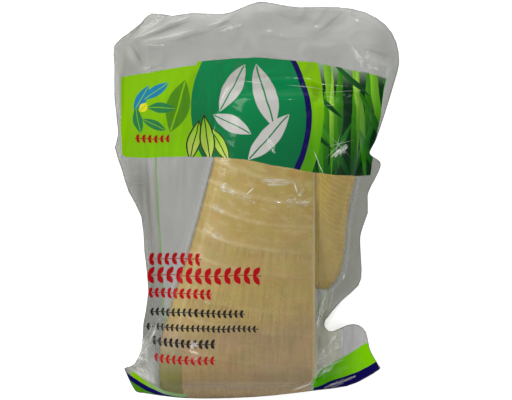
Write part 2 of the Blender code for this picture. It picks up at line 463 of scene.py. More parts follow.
def around(measure, field, edge=0):
    """The least, most or mean of the eight squares round each square."""
    return measure([f for f, _ in neighbours(field, edge)], axis=0)


def field_places():
    xs = FIELD_LOW[0] + SQUARE * np.arange(FIELD_SHAPE[1])
    ys = FIELD_LOW[1] + SQUARE * np.arange(FIELD_SHAPE[0])
    return np.meshgrid(xs, ys)


def read_field(field, x, y):
    i = (x - FIELD_LOW[0]) / SQUARE
    j = (y - FIELD_LOW[1]) / SQUARE
    i0, j0 = i.astype(int), j.astype(int)
    a, b = i - i0, j - j0
    low = field[j0, i0] * (1 - a) + field[j0, i0 + 1] * a
    high = field[j0 + 1, i0] * (1 - a) + field[j0 + 1, i0 + 1] * a
    return low * (1 - b) + high * b


shoots = field_of(np.concatenate([np.array([v.co for v in piece.data.vertices])
    for piece in (slab, tip)]))
shoots = np.maximum(shoots, around(np.min, shoots))
print("the field is", FIELD_SHAPE, "squares")

# %% Drape the film
# The film's slope beside a shoot: the steepest, the steepest at the slab's left side, and how much
# less it is in the header.
STEEP = 4.8
LEFT_STEEP = 2.4
HEADER_LESS = 3.0
FILM = 0.2 * MM
CLEARANCE = 0.15 * MM
x, y = field_places()
steep = STEEP - HEADER_LESS * rise(y, 12, 22)
gentle = np.minimum(steep, LEFT_STEEP)
wall_slope = gentle + (steep - gentle) * rise(x - slab_left(y), 5, 25)
film = np.where(shoots > 0, shoots + CLEARANCE, 0)
film = np.maximum(film, around(np.max, film))
least = film
for _ in range(30):
    drawn_in = [f - wall_slope * SQUARE * d for f, d in neighbours(film, 0)]
    film = np.maximum(film, np.max(drawn_in, axis=0))
for _ in range(5):
    film = np.maximum(around(np.mean, film), least)
print("pulled down, the film stands", round(film.max() / MM, 1), "mm high at most")


# %% Where the back web lies, and how high the front one can stand
back_bm = welded_copy("film_back")
back_tree = BVHTree.FromBMesh(back_bm)
back_bm.free()
lift = np.zeros(FIELD_SHAPE)
for j in range(FIELD_SHAPE[0]):
    for i in range(FIELD_SHAPE[1]):
        hit = back_tree.ray_cast(Vector((x[j, i], y[j, i], -0.01)), Vector((0, 0, 1)))[0]
        lift[j, i] = hit.z if hit is not None else -1
for _ in range(8):
    lift = np.where(lift < 0, around(np.max, lift, -1), lift)
for _ in range(12):
    lift = np.where(lift > 0.01 * MM, around(np.mean, lift), lift)
lift = np.maximum(lift, 0)


def edge_distance(p):
    """How far inside the pouch's edge each place is."""
    a = border
    run = np.roll(border, -1, axis=0) - a
    out = np.empty(len(p))
    for k in range(0, len(p), 4000):
        to = p[k:k + 4000, None, :] - a[None, :, :]
        share = np.clip((to * run).sum(axis=2) / (run ** 2).sum(axis=1), 0, 1)
        out[k:k + 4000] = np.linalg.norm(to - run * share[:, :, None], axis=2).min(axis=1)
    return out


SEAL_GAP = 0.1 * MM
EDGE_STEEP = 4.2
flat = points_of(sheet_bm)[:, :2]
flat_x, flat_y = flat[:, 0], flat[:, 1]
inset = edge_distance(flat)
low = read_field(lift, flat_x, flat_y)
sealed = low + FILM + SEAL_GAP
high = read_field(film, flat_x, flat_y)
high = np.maximum(sealed, np.minimum(high, sealed + EDGE_STEEP * inset))
print("the film stands", round(high.max() / MM, 1), "mm high")


# %% [markdown]
# ## Folds and creases
#
# Film has no stretch to spare, so wherever it is drawn in, it folds. Three kinds are added to the
# front web, all of them upwards, so that it never sinks into what it covers. Pleats run down the
# margins beside the shoots, and a few fan out beside the slab's foot. Long soft folds cross the
# empty header. Short creases lie over the slab, where the film is a little slack between two rings.
# Each fold is a ridge with a sharp crest along a drawn line, because it is the crest that catches
# the light. Away from the shoots the back web folds with the front one, so that the two never
# cross.

# %% A ridge along a line
def smooth_open(run, pieces):
    """A curve through an open run of points, from its first to its last."""
    p = np.array(run, float)
    p = np.concatenate([[2 * p[0] - p[1]], p, [2 * p[-1] - p[-2]]])
    return np.concatenate([smooth_curve(p, pieces), [p[-2]]])


def ridge(places, run, height, width, power=1.25):
    """Height at each place of a ridge along a line in millimetres. It fades at its ends."""
    line = smooth_open(run, 5) * MM
    best = np.full(len(places), 9.0)
    share_along = np.zeros(len(places))
    for k, (a, b) in enumerate(zip(line, line[1:])):
        step = b - a
        to = places - a
        share = np.clip(to @ step / (step @ step), 0, 1)
        far = np.linalg.norm(to - share[:, None] * step, axis=1)
        closer = far < best
        best = np.where(closer, far, best)
        share_along = np.where(closer, (k + share) / (len(line) - 1), share_along)
    fade = np.sin(math.pi * share_along) ** 0.7
    return height * MM * fade * np.clip(1 - best / (width * MM), 0, 1) ** power


# %% The folds of the header and the margins
HEADER_FOLDS = [([(-34, 101.6), (-45, 98), (-54, 94.6), (-69.5, 87.5)], 1.3, 4.5),
    ([(-49.6, 101), (-59, 95), (-69.5, 87.8)], 0.9, 3.5),
    ([(-8.5, 101.6), (-20, 96.7), (-31.2, 94.6), (-44, 91.7), (-58, 87.5)], 1.3, 5),
    ([(-18.4, 95.3), (-30, 91.5), (-42.5, 88.2), (-50, 86.6), (-69.5, 86.6)], 1.1, 4.5),
    ([(-6, 99), (-17, 95), (-28, 92.5), (-49, 89), (-70, 87)], 0.9, 11),
    ([(-70.2, 85.4), (-68, 81.8), (-63.8, 75.5)], 0.6, 5),
    ([(-61, 96), (-55, 99), (-49, 101)], 0.9, 4),
    ([(50, 103), (38, 96), (27, 93), (14, 92)], 1.2, 8),
    ([(-7, 100), (3, 104), (13, 102), (26, 97)], 1.2, 8),
    ([(24, 86), (38, 84), (52, 86), (66, 78)], 1.0, 7), ([(54, 83), (58, 79), (63, 76)], 1.1, 3),
    ([(-61, 85.5), (-55, 84.5), (-49, 85)], 0.8, 3), ([(-64, 72), (-57, 73.5), (-51, 73)], 0.9, 3),
    ([(73, 84), (75, 69), (71, 52)], 1.4, 5), ([(-77, 76), (-75, 60), (-77, 40)], 1.0, 4)]
MARGIN_FOLDS = [([(-66, 23), (-64, -2), (-60, -27), (-59, -44)], 1.2, 4),
    ([(-61, 23), (-60, 0), (-58, -27), (-58, -55)], 1.2, 3),
    ([(-57.5, 22), (-56, 0), (-55, -20)], 0.6, 2),
    ([(-47, -40), (-48, -56), (-51, -77), (-57, -92)], 1.0, 4),
    ([(-54, -71), (-58, -83), (-66, -93)], 1.0, 4),
    ([(-41, -88), (-40.5, -97), (-40, -105)], 0.6, 2),
    ([(-66, -95), (-58, -98), (-48, -104)], 0.8, 3),
    ([(57, 14), (53, -8), (52, -27), (48, -44)], 1.2, 4),
    ([(50, -39), (49, -42), (48, -45)], 0.8, 2), ([(43.5, -46), (41, -55), (38.5, -65)], 0.9, 3),
    ([(47, -71), (47.5, -78), (46.5, -84)], 0.9, 3), ([(34, -91), (37, -84), (41, -76)], 0.8, 3),
    ([(34, -91), (39, -86), (45, -80)], 0.8, 3), ([(34, -91), (39, -89), (44, -86)], 0.8, 3),
    ([(35, -96), (45, -92), (57, -88)], 0.9, 4)]
SHOOT_FOLDS = [([(2, 11), (8, 11), (14, 10), (21, 9)], 0.35, 1.6),
    ([(21, 9), (22.5, 6), (23, 3)], 0.35, 1.5), ([(-20, 7.5), (-17, 5), (-13, 4)], 0.3, 1.5),
    ([(22, 0), (27, -1), (31, 0)], 0.3, 1.5), ([(-24, -3.5), (-20, -6), (-16, -7)], 0.3, 1.6),
    ([(35, 13), (38, 8), (40, 4)], 0.3, 1.6), ([(17, -104), (24, -101), (31, -98)], 0.5, 2.0)]


def add_ridges(places, ridges):
    return np.max([ridge(places, *r) for r in ridges], axis=0)


print(len(HEADER_FOLDS), "folds in the header,", len(MARGIN_FOLDS), "in the margins")

# %% Where the film has nothing under it
def off_the_shoots(places):
    """How far each place is from the nearest shoot."""
    x, y = field_places()
    covered = (shoots > 0).astype(float)
    rim = (covered > 0) & (around(np.min, covered) == 0)
    tree = KDTree(rim.sum())
    for k, place in enumerate(zip(x[rim], y[rim])):
        tree.insert((*place, 0), k)
    tree.balance()
    far = np.array([tree.find((*place, 0))[2] for place in places])
    return np.where(read_field(covered, places[:, 0], places[:, 1]) > 0.5, -far, far)


def flat_noise(x_size, y_size, seed):
    """Smooth noise over the sheet, with swellings of a given size in millimetres."""
    x, y = flat_x / (x_size * MM), flat_y / (y_size * MM)
    return noise_at(np.stack([x, y, 0 * x], axis=1), seed)


off = off_the_shoots(flat)
print("the shoots lie under", round(100 * (off < 0).mean()), "% of the sheet's points")

# %% Fold the film
loose = rise(off, 1.5, 7)
header = rise(flat_y, 62, 14)
broad = np.clip(flat_noise(34, 20, 6) + 0.15, 0, 1)
streaks = np.clip(1 - 2.6 * abs(flat_noise(5, 45, 7)), 0, 1)
crumple = np.clip(1 - 3.0 * abs(flat_noise(13, 10, 8)), 0, 1)
folds = MM * loose * (1.1 * broad * header + 0.3 * streaks * (1 - header)
    + 0.5 * crumple * (0.3 + header))
folds = folds + loose * add_ridges(flat, HEADER_FOLDS + MARGIN_FOLDS)
rim_room = rise(inset, 0.4, 4)
shared = folds * rise(off, 4, 7)
high = high + shared + rim_room * (folds - shared + add_ridges(flat, SHOOT_FOLDS))
low = low + shared
print("the deepest fold is", round(folds.max() / MM, 1), "mm")

# %% [markdown]
# ## What the film's material needs to know
#
# Some of the film's looks depend on what is under it, so they are measured here and left on its
# points. It is wet where it touches a shoot. A pale band of painted light, where the steep film
# catches the light, runs beside the slab's upper left side and the tip cut's right, and a dark line
# of painted shade marks the slab's own edge. A painted shadow fills the gap between the shoots, and
# a flat flesh colour is painted over the slab's foot, which evens out the shade of its rounded end.

# %% Mark the film
hugging = 1.2 * MM + 6.0 * MM * rise(-flat_y, 96, 6)
from_slab = slab_left(flat_y) - flat_x
left_of_slab = (from_slab > -1 * MM) & (off < 6 * MM)
clear_of = np.where(left_of_slab, from_slab, off)
beside = rise(clear_of, 0.2, 0.8) * (1 - rise(clear_of, 2.2, 1.2))
right_of_tip = (flat_x > slab_right(flat_y) + 3 * MM) * rise(flat_y, -54, 5)
past_slab = flat_x - slab_right(flat_y)
between = np.exp(-((past_slab - 1.2 * MM) / (1.5 * MM)) ** 2)
between = between * rise(flat_y - tip_low.y, 0, 5) * (flat_y < tip_high.y)
at_foot = rise(off, -5, 5) * rise(-flat_y, 96, 4) * rise(flat_x, -54, 6) * rise(-flat_x, -31, 4)
# Painted light and shade: a pale band on the film beside the shoots, a dark line at the slab's left
# edge, a shadow in the gap between the shoots, and a flat flesh colour over the slab's foot.
film_marks = {"wet": eased(0.6 - off / hugging), "rim": 1 - rise(inset, 0, 9),
    "painted_wall_light": beside * (0.7 * left_of_slab * rise(flat_y, -70, 30) + 0.9 * right_of_tip),
    "painted_edge_shade": np.exp(-((from_slab - 0.1 * MM) / (0.6 * MM)) ** 2) * left_of_slab,
    "gap_shade_and_foot_cover": np.maximum(between, at_foot)}
print("the film's marks are", ", ".join(film_marks))

# %% [markdown]
# ## The two webs
#
# Each web is the flat sheet at its own height, and gets its thickness upwards. The front one casts
# no shadow and takes no part in diffuse bounces, because the renderer takes its juice and its print
# for solid, and they would darken the flesh far more than thin film does.


# %% Make the webs
def web(name, underside, node):
    """A sheet at the given height, with its thickness. The marks are copied with each point."""
    bm = sheet_bm.copy()
    for v, z in zip(bm.verts[:], underside):
        v.co.z = z
    for mark, values in film_marks.items():
        layer = bm.verts.layers.float.new(mark)
        for v, value in zip(bm.verts[:], values):
            v[layer] = value
    top = bmesh.ops.extrude_face_region(bm, geom=bm.faces[:])["geom"]
    for v in top:
        if isinstance(v, bmesh.types.BMVert):
            v.co.z += FILM
    bmesh.ops.recalc_face_normals(bm, faces=bm.faces)
    return place_piece(name, bm, node)


front = web("film_front_web", high, "film_front")
back = web("film_back_web", low, "film_back")
front.visible_shadow = False
front.visible_diffuse = False
print("webs made,", len(front.data.polygons), "faces each")


# %% [markdown]
# ## Shader helpers
#
# The materials below are built by code. Most of their nodes do sums, and a sum is easiest to read
# as one, so a number that a shader works out is wrapped as a Value: `a * b + c` then adds the Math
# node that does it. A few more helpers add a blend, a smooth step, a noise or a group.


# %% Sums of a shader's values
class Value:
    """A number that a shader works out. A product waits, in case a sum can take it in."""

    def __init__(self, m, made=None, product=None):
        self.m, self.made, self.product = m, made, product

    def socket(self):
        if self.made is None:
            self.made = self.m.math("MULTIPLY", *self.product).made
        return self.made

    def __mul__(self, other):
        return Value(self.m, product=(self, other))

    def __add__(self, other):
        for value, rest in ((self, other), (other, self)):
            if isinstance(value, Value) and value.made is None:
                return self.m.math("MULTIPLY_ADD", *value.product, rest)
        return self.m.math("ADD", self, other)

    def __sub__(self, other):
        return self.m.math("SUBTRACT", self, other)

    def __rsub__(self, other):
        return self.m.math("SUBTRACT", other, self)

    def __truediv__(self, other):
        return self.m.math("DIVIDE", self, other)

    def __abs__(self):
        return self.m.math("ABSOLUTE", self)

    __rmul__ = __mul__
    __radd__ = __add__


print("a Value can be added, taken away, multiplied and divided")


# %% Nodes of a tree
class Nodes:
    """A node tree that is being built: each call adds one node and gives what it puts out."""

    def __init__(self, tree):
        self.tree = tree

    def put(self, socket, value):
        if isinstance(value, Value):
            value = value.socket()
        if isinstance(value, bpy.types.NodeSocket):
            self.tree.links.new(value, socket)
        elif value is not None:
            socket.default_value = value

    def fill(self, made, **values):
        """Sets or links sockets, whose names are given with _ for a space."""
        for name, value in values.items():
            self.put(made.inputs[name.replace("_", " ")], value)
        return made

    def node(self, kind, **settings):
        made = self.tree.nodes.new(kind)
        for name, value in settings.items():
            setattr(made, name, value)
        return made

    def feed(self, made, *values):
        """Sets or links sockets in order."""
        for socket, value in zip(made.inputs, values):
            self.put(socket, value)
        return made.outputs[0]

    def math(self, operation, a, b=None, c=None, clamp=False):
        made = self.node("ShaderNodeMath", operation=operation, use_clamp=clamp)
        return Value(self, self.feed(made, a, b, c))

    def most(self, a, b):
        return self.math("MAXIMUM", a, b)

    def vector(self, operation, a, b, c=None):
        made = self.node("ShaderNodeVectorMath", operation=operation)
        if operation == "SCALE":
            return self.fill(made, Vector=a, Scale=b).outputs[0]
        return self.feed(made, a, b, c)

    def blend(self, share, a, b, kind="MIX"):
        made = self.node("ShaderNodeMix", data_type="RGBA", blend_type=kind)
        for k, value in ((0, share), (6, a), (7, b)):
            self.put(made.inputs[k], value)
        return made.outputs[2]

    def range(self, value, low, high, new_low=0.0, new_high=1.0, smooth=True):
        made = self.node("ShaderNodeMapRange", clamp=True)
        made.interpolation_type = "SMOOTHSTEP" if smooth else "LINEAR"
        return Value(self, self.feed(made, value, low, high, new_low, new_high))

    def clouds(self, place, scale, detail=2.0, roughness=0.5):
        made = self.node("ShaderNodeTexNoise")
        return self.fill(made, Vector=place, Scale=scale, Detail=detail, Roughness=roughness)

    def noise(self, place, scale=1.0, detail=2.0, roughness=0.5):
        """Noise at a place, which is a vector or its two or three numbers."""
        if isinstance(place, tuple):
            place = self.join(*place)
        return Value(self, self.clouds(place, scale, detail, roughness).outputs[0])

    def place(self):
        return self.node("ShaderNodeTexCoord").outputs["Object"]

    def attribute(self, name):
        return Value(self, self.node("ShaderNodeAttribute", attribute_name=name).outputs["Fac"])

    def split(self, vector):
        made = self.node("ShaderNodeSeparateXYZ")
        self.feed(made, vector)
        return [Value(self, axis) for axis in made.outputs]

    def join(self, x, y, z=0.0):
        return self.feed(self.node("ShaderNodeCombineXYZ"), x, y, z)

    def bump(self, height, strength, distance):
        made = self.node("ShaderNodeBump")
        return self.fill(made, Height=height, Strength=strength, Distance=distance).outputs[0]


print("a tree's nodes are added with", ", ".join(k for k in vars(Nodes) if k[0] != "_"))


# %% Shader groups
def named(nodes, sockets):
    return {socket.name: Value(nodes, socket) for socket in sockets if socket.name}


def new_group(name, inputs, outputs):
    """An empty shader group. Its sockets are numbers, but for a vector named Place."""
    group = bpy.data.node_groups.new(name, "ShaderNodeTree")
    for direction, sockets in (("INPUT", inputs), ("OUTPUT", outputs)):
        for socket in sockets:
            kind = "Vector" if socket == "Place" else "Float"
            group.interface.new_socket(name=socket, in_out=direction,
                socket_type="NodeSocket" + kind)
    entry, leave = group.nodes.new("NodeGroupInput"), group.nodes.new("NodeGroupOutput")
    nodes = Nodes(group)
    return group, nodes, named(nodes, entry.outputs), leave.inputs


def use_group(nodes, group, **values):
    made = nodes.fill(nodes.node("ShaderNodeGroup", node_tree=group), **values)
    return named(nodes, made.outputs)


print("groups are made with new_group and placed with use_group")

# %% [markdown]
# ## Boiled shoot
#
# Boiled shoot is straw yellow, slightly see-through at the surface, and fibrous. Fine threads run
# along it, a paler line marks each ring, and just under a ring the threads stand apart as short
# dark strokes. All of these are drawn from the marks that the carving left on the points, so they
# follow the form. The foot, where the shoot was thickest and woodiest, is greyer.

# %% The fibre group
fibre, g, given, out = new_group("shoot_fibre", ("Across", "Along", "Below", "Threads"),
    ("Thread", "Mottle", "Strokes", "Sheaths", "Grain", "Warmth"))
t, q, below, threads = given.values()
g.put(out["Thread"], g.noise((t * threads, q * 0.45), detail=3.0, roughness=0.6))
g.put(out["Mottle"], g.noise((t * 5.0, q), detail=4.0, roughness=0.6))
strokes = g.range(g.noise((t * (threads * 1.25), q * 0.12, 7.0), detail=1.0), 0.47, 0.6)
patches = g.range(g.noise((t * 3.0, q, 3.0), 0.8, detail=1.0), 0.36, 0.52)
near = g.range(below, 0.02, 0.14) * g.range(below, 1.0, 0.35)
g.put(out["Strokes"], strokes * near * patches)
wavy = g.noise((t * 5.0, q), 0.9, detail=3.0, roughness=0.6) * 9.0 + q * 23.0
sheaths = g.math("SINE", wavy) * 0.5 + 0.5
g.put(out["Sheaths"], sheaths * g.range(g.noise((t * 1.2, q * 7.0)), 0.3, 0.6))
g.put(out["Grain"], g.noise((t * (threads * 2.0), q * 7.0, 2.0), roughness=0.7))
g.put(out["Warmth"], g.noise((t * 8.0, q * 1.3, 9.0), detail=3.0, roughness=0.6))
print("the fibre group has", len(fibre.nodes), "nodes")


# %% The shoot material
def shoot_material(name, top, middle, foot, gold, pale, threads, sheathed):
    """Boiled shoot. Sheathed is true for the tip, whose young sheaths lie close together."""
    made, tree, shader = new_material(name)
    m = Nodes(tree)
    t, q, below = m.attribute("across"), m.attribute("along"), m.attribute("below")
    cut = m.attribute("cut")
    grain = use_group(m, fibre, Across=t, Along=q, Below=below, Threads=threads)
    x, y, z = m.split(m.place())
    # Straw yellow, with gold under each ring, and greyer at the foot.
    colour = m.blend(m.range(y, 0.02, -0.03), top, middle)
    under = m.range(below, 0.05, 0.25) * m.range(below, 1.15, 0.45)
    under = under * m.range(grain["Mottle"], 0.62, 0.4)
    under = under * m.range(y, -0.045, 0.015, 0.25, 0.75)
    colour = m.blend(under, colour, gold)
    colour = m.blend(m.range(grain["Mottle"] * 0.02 + y, -0.045, -0.068), colour, foot)
    warm = m.range(grain["Warmth"], 0.35, 0.65)
    colour = m.blend(warm, m.blend(1.0, colour, (0.97, 1.02, 0.95, 1), "MULTIPLY"),
        m.blend(1.0, colour, (1.04, 0.98, 1.06, 1), "MULTIPLY"))
    # Threads and speckle, coarser towards the foot, then sheaths or strokes.
    coarse = m.range(y, -0.02, -0.05)
    shade = m.range(grain["Mottle"], 0.3, 0.7, 0.93, 1.07)
    threads_drawn = coarse * 0.38 + 0.16
    shade = shade * ((grain["Thread"] - 0.5) * threads_drawn + 1.0)
    speckled = coarse * 0.3 + 0.22
    shade = shade * ((grain["Grain"] - 0.5) * speckled + 1.0)
    if sheathed:
        line = grain["Sheaths"]
        sheath_depth = m.range(y, -0.04, 0.0, 0.1, 0.2)
        shade = shade * ((line - 0.5) * sheath_depth + 1.0)
    else:
        line = grain["Strokes"] * m.attribute("strokes")
        shade = shade * (line * -0.1 + 1.0)
    # Painted shade: the flesh darkens at its left edge.
    shade = shade * m.range(t, 0.0, 0.025, 0.65, 1.0)
    colour = m.vector("SCALE", colour, shade)
    # Paler along each ring, partly the ring's own colour and partly a painted highlight that is
    # strongest at the left. Pale in blotches and on the cut faces, with a painted highlight along
    # the left rim and along the right edge.
    if not sheathed:
        ring_paleness = m.range(grain["Mottle"], 0.35, 0.6, 0.35, 1.0)
        ring_paleness = ring_paleness * m.range(y, -0.055, -0.015, 0.18, 0.6)
        lit = m.math("MULTIPLY", m.attribute("ring"), ring_paleness, clamp=True)
        colour = m.blend(lit, colour, pale)
        blotch = m.noise((t * 9.0, q * 3.2, 4.0), detail=3.0, roughness=0.65)
        blotch = m.range(blotch, 0.5, 0.66) * m.range(y, -0.06, 0.0)
        colour = m.blend(blotch * 0.3, colour, pale)
        # Painted highlight: a pale line along the left rim.
        rim = m.range(t, 0.06, 0.085) * m.range(t, 0.11, 0.09)
        colour = m.blend(rim * 0.18, colour, pale)
    # Painted highlight: a pale line along the right edge, where the film over the corner catches
    # light.
    colour = m.blend(m.range(t, 0.955 if sheathed else 0.972, 0.99) * 0.5, colour, pale)
    colour = m.blend(cut * 0.5, colour, pale)
    height = line * (0.6 if sheathed else -0.6) + grain["Thread"]
    m.fill(shader, Base_Color=colour, Roughness=m.range(grain["Mottle"], 0.2, 0.8, 0.6, 0.45),
        Specular_IOR_Level=0.3, Subsurface_Weight=0.12, Subsurface_Scale=0.003,
        Subsurface_Radius=(1.0, 0.6, 0.25), Normal=m.bump(height, 0.35, 0.2 * MM))
    return made


slab.data.materials.append(shoot_material("boiled_shoot", top=(0.305, 0.224, 0.057, 1),
    middle=(0.297, 0.212, 0.06, 1), foot=(0.252, 0.173, 0.073, 1), gold=(0.308, 0.211, 0.043, 1),
    pale=(0.44, 0.365, 0.19, 1), threads=38.0, sheathed=False))
tip.data.materials.append(shoot_material("boiled_shoot_tip", top=(0.341, 0.238, 0.037, 1),
    middle=(0.324, 0.236, 0.061, 1), foot=(0.292, 0.213, 0.113, 1), gold=(0.328, 0.228, 0.043, 1),
    pale=(0.46, 0.37, 0.2, 1), threads=16.0, sheathed=True))
print("flesh on, the slab's with", len(slab.data.materials[0].node_tree.nodes), "nodes")

# %% [markdown]
# ## The printed header
#
# A shelf pouch carries a printed band across its top. This one is a plain design of leaves: a light
# green field with a sprig on it, a dark green hill with four pale leaves, and a thicket of blades.
# Each leaf is one small group of nodes: a Mapping node lays a unit square over it, and the group
# keeps the lens inside. The film's own plane, seen from above, is the drawing.

# %% The leaf group
leaf_group, g, given, out = new_group("leaf", ("Place",),
    ("Blade", "Rib", "Edge", "Along", "Crest"))
u, v, w = g.split(given["Place"])
lens = 1.0 - u * u
body = lens - abs(v)
blade = g.range(body, 0.0, 0.07)
g.put(out["Blade"], blade)
g.put(out["Rib"], g.range(abs(v), 0.1, 0.04) * g.range(body, 0.05, 0.2))
g.put(out["Edge"], blade * g.range(body, 0.3, 0.16))
g.put(out["Along"], u * 0.5 + 0.5)
g.put(out["Crest"], g.most(body, 0.0))


def unit_square(m, place, at, length, width, angle):
    """Lays a square of -1 to 1 over a patch of the film. Sizes are in millimetres and degrees."""
    unit = m.node("ShaderNodeMapping", vector_type="TEXTURE")
    m.fill(unit, Location=(at[0] * MM, at[1] * MM, 0), Rotation=(0, 0, math.radians(angle)),
        Scale=(length * MM / 2, width * MM / 2, 1), Vector=place)
    return unit.outputs[0]


def leaf(m, place, at, length, width, angle):
    return use_group(m, leaf_group, Place=unit_square(m, place, at, length, width, angle))


def curve(m, x, middle, bend, level):
    """A parabola: level + bend (x - middle) squared, all in metres."""
    away = x - middle
    return away * away * bend + level


CRISP = 0.25 * MM


def past(m, value, line):
    """1 where the value is past a line, 0 before it, with a crisp edge."""
    return m.range(value - line, -CRISP / 2, CRISP / 2)


def within(m, value, low, high):
    return past(m, value, low) * past(m, high, value)


def step(m, value, low, high):
    """A smooth step from 0 at one place to 1 at another, in millimetres."""
    return m.range(value, low * MM, high * MM)


def fade(m, value, low, high, first, second):
    """One colour at one place, and a second at another, in millimetres."""
    return m.blend(step(m, value, low, high), first, second)


print("the leaf group has", len(leaf_group.nodes), "nodes")

# %% The inks and the leaves
LIME = (0.175, 0.4, 0.001, 1)
PALE_LIME = (0.17, 0.42, 0.001, 1)
GRASS = (0.06, 0.24, 0.004, 1)
DEEP = (0.003, 0.105, 0.034, 1)
BRIGHT_DEEP = (0.003, 0.18, 0.055, 1)
FOREST = (0.003, 0.024, 0.007, 1)
PALE_GREEN = (0.24, 0.36, 0.22, 1)
CHALK = (0.4, 0.39, 0.37, 1)
STRAW = (0.4, 0.46, 0.1, 1)
SAGE = (0.2, 0.33, 0.14, 1)
NAVY = (0.005, 0.003, 0.07, 1)
BERRY = (0.3, 0.003, 0.006, 1)
INK_BLACK = (0.012, 0.012, 0.012, 1)
TEAL = (0.01, 0.17, 0.3, 1)
SPRUCE = (0.02, 0.16, 0.05, 1)
MOSS = (0.06, 0.2, 0.006, 1)
SUN = (0.62, 0.56, 0.02, 1)
FERN = (0.05, 0.2, 0.004, 1)
OLIVE = (0.11, 0.11, 0.002, 1)
PEA = (0.055, 0.31, 0.001, 1)
YOUNG_PEA = (0.17, 0.5, 0.001, 1)
PANEL = (0.24, 0.244, 0.232, 1)
PANEL_GREEN = (0.09, 0.3, 0.01, 1)
CHALK_LEAVES = [((-13, 62), 30, 11, 62), ((5, 57), 38, 13, 106), ((-13, 42), 24, 9, 152),
    ((7, 34), 34, 11, 48)]
SPRIG_LEAVES = [((-43, 52), 30, 13, 74, MOSS), ((-63, 56), 17, 6, 60, TEAL),
    ((-55, 60), 17, 6, 35, TEAL), ((-52, 51), 16, 5.5, 0, SPRUCE),
    ((-65, 44), 15, 5.5, 100, SPRUCE), ((-56, 42), 15, 5, -25, SPRUCE),
    ((-62, 51), 6, 4.5, 45, SUN)]
STRAW_LEAVES = [((-34, 33), 24, 8, 78), ((-20, 31), 24, 8, 118), ((-27, 34), 28, 9, 97)]
BLADES = [(-3, 8.5, 74, 5.0, 36, (0.006, 0.06, 0.006, 1), (0.045, 0.23, 0.006, 1)),
    (-24, 15, 48, 4.0, 22, (0.003, 0.04, 0.008, 1), (0.02, 0.15, 0.015, 1)),
    (6, 12.5, 80, 4.6, 48, (0.02, 0.15, 0.004, 1), (0.19, 0.45, 0.02, 1)),
    (27, 14, 44, 3.6, 30, (0.003, 0.045, 0.008, 1), (0.03, 0.19, 0.012, 1)),
    (-1, 17.5, 66, 2.6, 44, (0.05, 0.2, 0.006, 1), (0.3, 0.52, 0.06, 1)),
    (48, 19, 30, 3.0, 58, (0.003, 0.035, 0.008, 1), (0.012, 0.11, 0.015, 1))]
print(len(SPRIG_LEAVES + CHALK_LEAVES + STRAW_LEAVES), "leaves,", len(BLADES), "layers of blades")


# %% Rows of small leaves
def leaf_row(m, x, y, left, right, level, pitch, length, width, lean, arch=0.0):
    """A garland: leaves either side of a thin stem. Gives where it is printed."""
    bent = y - curve(m, x, -36 * MM, arch, level * MM)
    count = (x - left * MM) / (pitch * MM)
    # This runs from minus half a pitch to half of one, again and again.
    local = m.math("FRACT", count) * (pitch * MM) + -pitch * MM / 2
    place = m.join(local, abs(bent))
    found = leaf(m, place, (0, 0.36 * length), length, width, lean)
    stem = past(m, 0.28 * MM, abs(bent))
    shape = m.most(found["Blade"], stem)
    return shape * within(m, x, left * MM, right * MM)


# %% The header band
def header_band(m, x, y):
    """1 inside the printed band."""
    # The lime field's top edge slants, and the hill's is an arch.
    over_lime = x * 0.158 + 80.0 * MM
    over_hill = curve(m, x, -2 * MM, -2.1, 78.5 * MM)
    top = m.range(x, -33.0 * MM, -32.0 * MM, over_lime, over_hill)
    bottom = m.range(x, -30 * MM, 55 * MM, 23.8 * MM, 13.4 * MM)
    right_rise = m.most(x - 60 * MM, 0.0)
    bottom = bottom + right_rise * right_rise * 30.0
    inside = within(m, y, bottom, top)
    # The lower left corner is round.
    out_left = m.most(-71 * MM - x, 0.0)
    out_down = m.most(26.8 * MM - y, 0.0)
    corner = m.math("SQRT", out_left * out_left + out_down * out_down)
    inside = inside * m.most(past(m, 3 * MM, corner), past(m, x, -71 * MM))
    right = y * 0.16 + 61 * MM
    return inside * past(m, right, x)


# %% Blades and big leaves
def blades(m, place, ground, lean, pitch, length, width, level, dark, light):
    """A layer of blades, each in a strip of its own, and each with its own height and shade."""
    x, y, z = m.split(unit_square(m, place, (50, level), 2, 2, lean))
    strip = m.math("FLOOR", x / pitch)
    own = m.node("ShaderNodeTexWhiteNoise", noise_dimensions="2D")
    own = Value(m, m.fill(own, Vector=m.join(strip, level)).outputs["Value"])
    local = own * (pitch * 0.4) + (x - strip * pitch - pitch / 2) - pitch * 0.2
    raised = own * -24.0 + y + 12.0
    found = use_group(m, leaf_group, Place=m.join(raised / (length / 2), local / (width / 2)))
    tint = m.blend(m.range(found["Along"], 0.15, 0.75), dark, light)
    tint = m.blend(m.range(local, -width / 2, width / 2, 0.0, 0.55), tint, dark)
    return m.blend(found["Blade"], ground, tint)


def header_hill(m, y):
    """The dark green hill's colour."""
    return fade(m, y, 15, 75, DEEP, BRIGHT_DEEP)


def chalk_leaves(m, place, colour, leaves):
    for at, length, width, angle in leaves:
        found = leaf(m, place, at, length, width, angle)
        colour = m.blend(m.math("SUBTRACT", found["Blade"], found["Rib"], clamp=True), colour,
            CHALK)
    return colour


# %% The header's two halves
HEADER_SPLIT = 16.0


